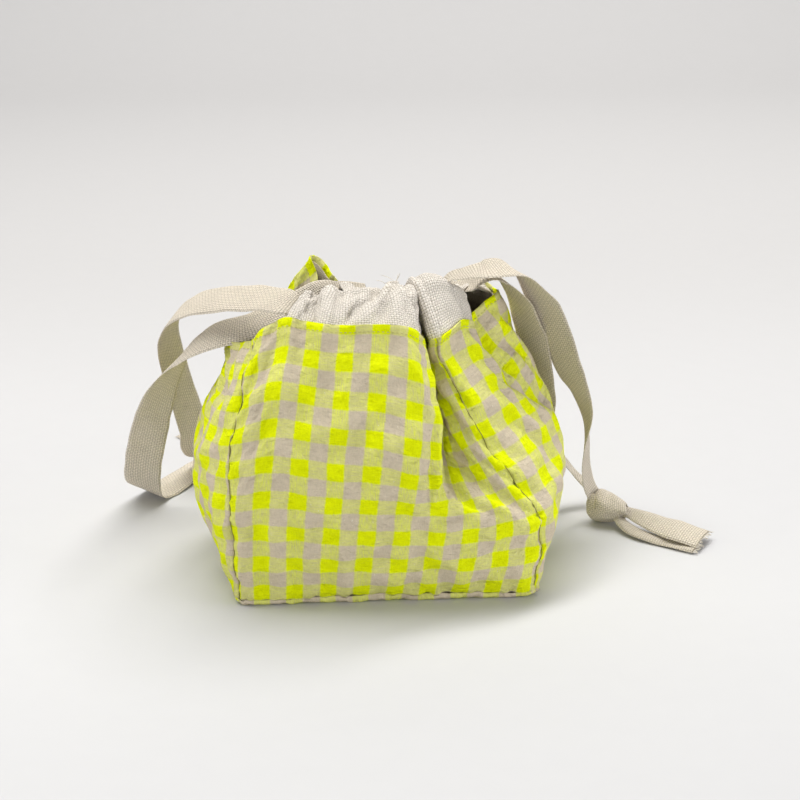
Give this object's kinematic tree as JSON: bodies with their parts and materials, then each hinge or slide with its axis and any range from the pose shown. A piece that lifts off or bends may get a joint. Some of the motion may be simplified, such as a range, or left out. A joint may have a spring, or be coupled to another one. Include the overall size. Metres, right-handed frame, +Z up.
{
  "type": "drawstring project bag",
  "caption": "Boxy drawstring project bag in yellow and natural gingham, with linen casings and two knotted linen tape drawstrings.",
  "frame": {"origin": "on the floor, under the middle of the bag without its tapes", "axes": "+X to the right of the bag, +Y from its front to its back, +Z up"},
  "size_m": [0.3856, 0.3207, 0.1984],
  "materials": {
    "gingham": "soft crinkled woven gingham, yellow and natural",
    "lining": "plain woven natural linen",
    "casing": "coarse natural linen canvas",
    "tape": "natural linen tape, plain weave"
  },
  "bodies": {
    "bag": {"base_panel": "gingham", "front_panel": "gingham", "right_side_panel": "gingham", "back_panel": "gingham", "left_side_panel": "gingham", "lining_base": "lining", "lining_front": "lining", "lining_right": "lining", "lining_back": "lining", "lining_left": "lining", "front_casing": "casing", "back_casing": "casing", "left_tape_run": "tape", "right_tape_run": "tape"},
    "left_pull": {"left_upper_exit": "tape", "left_lower_exit": "tape"},
    "left_loop": {"left_upper_strand": "tape", "left_lower_strand": "tape", "left_knot": "tape", "left_tail_1": "tape", "left_tail_2": "tape"},
    "right_pull": {"right_upper_exit": "tape", "right_lower_exit": "tape"},
    "right_loop": {"right_upper_strand": "tape", "right_lower_strand": "tape", "right_knot": "tape", "right_tail_1": "tape", "right_tail_2": "tape"}
  },
  "joints": [
    {"name": "left_drawstring_pull", "type": "slide", "parent": "bag", "child": "left_pull", "axis": [-0.9536, -0.3011, 0], "range_m": [0, 0.025]},
    {"name": "left_loop_lift", "type": "hinge", "parent": "left_pull", "child": "left_loop", "pos_m": [-0.065, -0.022, 0.1815], "axis": [0.4315, 0.863, -0.2627], "range_deg": [0, 90], "deforming": ["left_upper_exit", "left_lower_exit"]},
    {"name": "right_drawstring_pull", "type": "slide", "parent": "bag", "child": "right_pull", "axis": [1, 0, 0], "range_m": [0, 0.025]},
    {"name": "right_loop_lift", "type": "hinge", "parent": "right_pull", "child": "right_loop", "pos_m": [0.067, 0.009, 0.19], "axis": [0, -1, 0], "range_deg": [0, 90], "deforming": ["right_upper_exit", "right_lower_exit"]}
  ]
}
